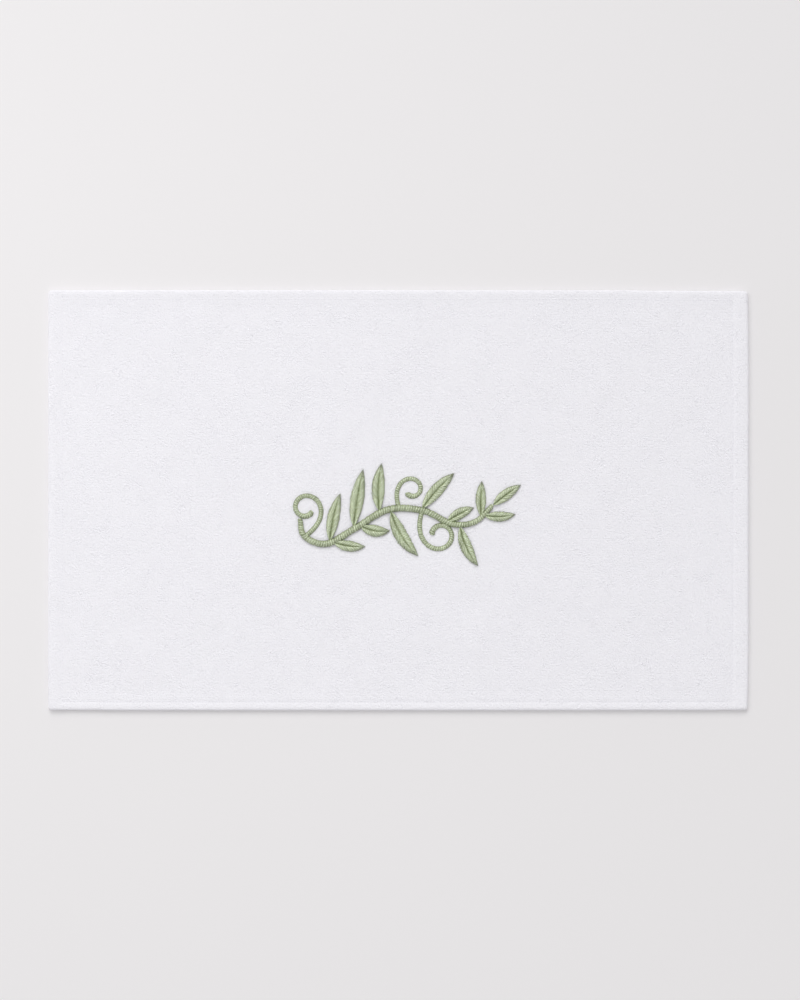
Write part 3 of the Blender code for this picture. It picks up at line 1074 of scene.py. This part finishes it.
# share: what each light adds on the floor at the origin; angles in degrees,
# azimuth from +X; lengths in metres
KEY_AZIMUTH, KEY_ELEVATION, KEY_ANGLE, KEY_SHARE = 98.0, 40.0, 30.0, 0.190
BOX_AT, BOX_SIZE, BOX_SHARE = (-0.80, 0.50, 1.20), 0.7, 0.112
SKY, HORIZON = 0.606, 1.0


def lamp(name, kind, place, colour=(1.0, 1.0, 1.0)):
    """A light at a place, turned to the origin."""
    data = bpy.data.lights.new(name, kind)
    data.color = colour
    ob = bpy.data.objects.new(name, data)
    ob.location = place
    x, y, z = place
    ob.rotation_euler = (atan2(hypot(x, y), z), 0.0, atan2(y, x) + pi / 2)
    ob.visible_camera = False
    bpy.context.scene.collection.objects.link(ob)
    return data


def make_lights():
    a, e = radians(KEY_AZIMUTH), radians(KEY_ELEVATION)
    key = lamp("key", "SUN", (5 * cos(e) * cos(a), 5 * cos(e) * sin(a), 5 * sin(e)))
    key.angle = radians(KEY_ANGLE)
    key.energy = KEY_SHARE * pi / sin(e)
    box = lamp("softbox", "AREA", BOX_AT)
    box.shape = "DISK"
    box.size = BOX_SIZE
    far = hypot(*BOX_AT)
    box.energy = BOX_SHARE * pi ** 2 * far ** 3 / BOX_AT[2]

    world = bpy.data.worlds.new("studio")
    world.use_nodes = True
    tree = world.node_tree
    back = tree.nodes["Background"]
    back.inputs["Strength"].default_value = 1.0
    # a little brighter towards the horizon, where the far floor meets it
    where = add(tree, "ShaderNodeTexCoord")
    split = add(tree, "ShaderNodeSeparateXYZ")
    tree.links.new(where.outputs["Generated"], split.inputs[0])
    rise = add(tree, "ShaderNodeMapRange", interpolation_type="SMOOTHSTEP")
    rise.inputs["From Min"].default_value = 0.02
    rise.inputs["From Max"].default_value = 0.30
    rise.inputs["To Min"].default_value = HORIZON
    rise.inputs["To Max"].default_value = SKY
    tree.links.new(split.outputs["Z"], rise.inputs["Value"])
    tree.links.new(rise.outputs["Result"], back.inputs["Color"])
    bpy.context.scene.world = world


def make_stage():
    me = bpy.data.meshes.new("floor")
    r, n = 14.0, 96
    verts = [(0.0, 0.0, -0.00002)] + [
        (r * cos(2 * pi * k / n), r * sin(2 * pi * k / n), -0.00002) for k in range(n)]
    me.from_pydata(verts, [], [(0, 1 + k, 1 + (k + 1) % n) for k in range(n)])
    me.materials.append(plain_floor())
    floor = bpy.data.objects.new("floor", me)
    bpy.context.scene.collection.objects.link(floor)
    floor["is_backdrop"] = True

    make_lights()
    cam = bpy.data.cameras.new("camera")
    cam.sensor_width = 36.0
    cam.sensor_fit = "AUTO"
    cam.lens = 36.0 * (VIEW_HEIGHT - 0.003) / (1000 * PIXEL * MM)
    cam.clip_end = 100.0
    ob = bpy.data.objects.new("camera", cam)
    ob.location = (1.5 * MM, 0.3 * MM, VIEW_HEIGHT)
    bpy.context.scene.collection.objects.link(ob)
    bpy.context.scene.camera = ob
    bpy.context.scene.view_settings.view_transform = "Standard"
    bpy.context.scene.view_settings.look = "None"


def main():
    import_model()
    cad_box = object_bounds()
    sprig_samples()
    terry = cotton("white_terry_ground", (0.958, 0.947, 0.990), 900.0, 0.0002, 0.012,
                   nubs=0.0004)
    pile = cotton("white_terry_pile", (0.958, 0.947, 0.990), 1800.0, 0.00012, 0.015)
    sewing = cotton("white_sewing_thread", (0.94, 0.93, 0.97), 2600.0, 0.00006, 0.01)
    sage = satin("sage_thread", (0.407, 0.477, 0.267))

    cloth = make_cloth(terry)
    loops = make_pile(pile)
    stitches = make_stitches(sewing)
    sprig = make_sprig(sage)
    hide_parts("towel_cloth")
    going = loops + [stitches] + sprig
    for ob in [cloth] + going:
        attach(ob, "root")
    make_stage()
    new_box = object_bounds()
    with_lists = {"cad": [list(map(float, c)) for c in cad_box],
                  "visual": [list(map(float, c)) for c in new_box]}


main()
